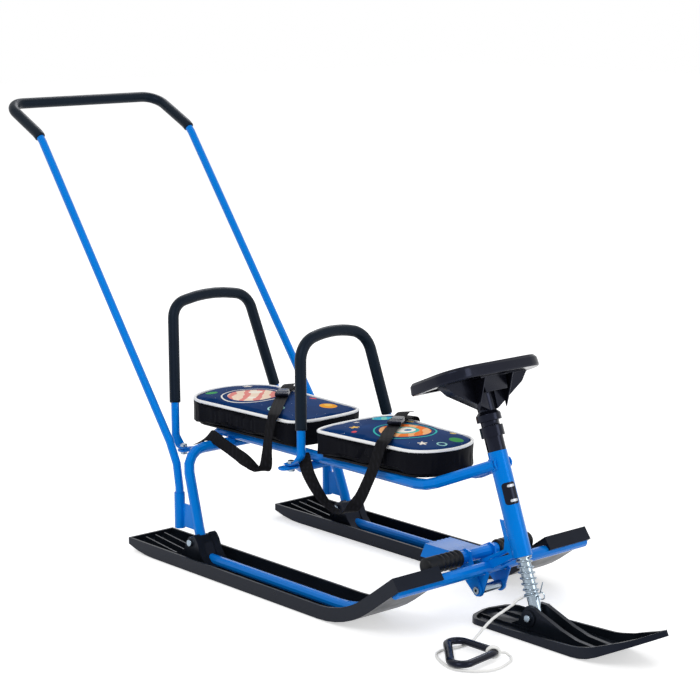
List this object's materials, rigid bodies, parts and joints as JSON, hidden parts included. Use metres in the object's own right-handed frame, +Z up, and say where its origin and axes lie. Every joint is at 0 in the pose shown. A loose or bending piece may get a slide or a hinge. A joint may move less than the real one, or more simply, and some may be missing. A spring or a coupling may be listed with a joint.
{
  "type": "snow scooter sled with push handle",
  "caption": "Steerable two-seat snow sled on long rear skis and a sprung front ski, with a steering wheel, padded seats, backrest hoops, a lift-off push handle, a foot brake and a pull rope.",
  "frame": {"origin": "middle of the whole sled's footprint, on the snow under the skis", "axes": "+X forward (the way the sled slides), +Y to the rider's left, +Z up"},
  "size_m": [1.6176, 0.4821, 0.8426],
  "materials": {
    "frame": "gloss blue powder coat",
    "ski": "black moulded plastic with a slight sheen",
    "foam": "soft dark foam sleeve",
    "rubber": "matte ribbed rubber",
    "plastic": "black moulded plastic",
    "zinc": "zinc plated",
    "cover": "padded seat cover, navy printed top and black sides",
    "board": "painted board",
    "webbing": "woven webbing",
    "rope": "white cord"
  },
  "bodies": {
    "frame": {"brake_bracket_left": "frame", "brake_bracket_right": "frame", "brake_pivot_rivet": "zinc", "brake_spacer_tube": "zinc", "column_collar": "plastic", "foot_crossbar": "frame", "front_backrest_bolt_left": "zinc", "front_backrest_bolt_right": "zinc", "front_backrest_foam": "foam", "front_backrest_hoop": "frame", "front_buckle": "plastic", "front_cross_tube": "frame", "front_cushion": "cover", "front_seat_base": "board", "front_seat_knob": "plastic", "front_seat_piping": "rope", "front_strap": "webbing", "handle_socket_left": "frame", "handle_socket_right": "frame", "head_gusset_left": "frame", "head_gusset_right": "frame", "head_tube": "frame", "lower_head_bush": "plastic", "rear_backrest_bolt_left": "zinc", "rear_backrest_bolt_right": "zinc", "rear_backrest_foam": "foam", "rear_backrest_hoop": "frame", "rear_buckle": "plastic", "rear_crossbar": "frame", "rear_cushion": "cover", "rear_leg_left": "frame", "rear_leg_right": "frame", "rear_seat_base": "board", "rear_seat_piping": "rope", "rear_ski_left": "ski", "rear_ski_right": "ski", "rear_strap": "webbing", "seat_beam_left": "frame", "seat_beam_right": "frame", "side_rail_left": "frame", "side_rail_right": "frame", "ski_bolt_left": "zinc", "ski_bolt_right": "zinc", "suspension_spring": "zinc", "upper_spring_washer": "zinc"},
    "handle": {"push_handle_tube": "frame", "push_handle_grip": "foam"},
    "carrier": {"lower_spring_washer": "zinc", "pull_rope": "rope", "pull_handle": "plastic"},
    "steer": {"steering_wheel": "plastic", "steering_shaft": "zinc", "spring_clip": "zinc"},
    "front_ski_set": {"front_ski": "ski", "front_ski_bolt": "zinc"},
    "brake": {"brake_comb": "frame", "brake_pedal_tube": "frame", "brake_pedal_sleeve_left": "rubber", "brake_pedal_sleeve_right": "rubber"}
  },
  "joints": [
    {"name": "handle_lift", "type": "slide", "parent": "frame", "child": "handle", "axis": [0, 0, 1], "range_m": [0, 0.08]},
    {"name": "suspension", "type": "slide", "parent": "frame", "child": "carrier", "axis": [-0.3486, 0, 0.9373], "range_m": [0, 0.012], "stiffness_N_per_m": 6000, "springref_m": -0.02, "deforming": ["suspension_spring"]},
    {"name": "steering", "type": "hinge", "parent": "carrier", "child": "steer", "pos_m": [0.42648, 0, 0.2955], "axis": [-0.3486, 0, 0.9373], "range_deg": [-30, 30]},
    {"name": "ski_pitch", "type": "hinge", "parent": "steer", "child": "front_ski_set", "pos_m": [0.52633, 0, 0.027], "axis": [0, -1, 0], "range_deg": [-5, 15]},
    {"name": "brake", "type": "hinge", "parent": "frame", "child": "brake", "pos_m": [0.41188, 0, 0.051], "axis": [0, -1, 0], "range_deg": [0, 40], "stiffness_Nm_per_rad": 1.5, "springref_deg": -45.84}
  ]
}
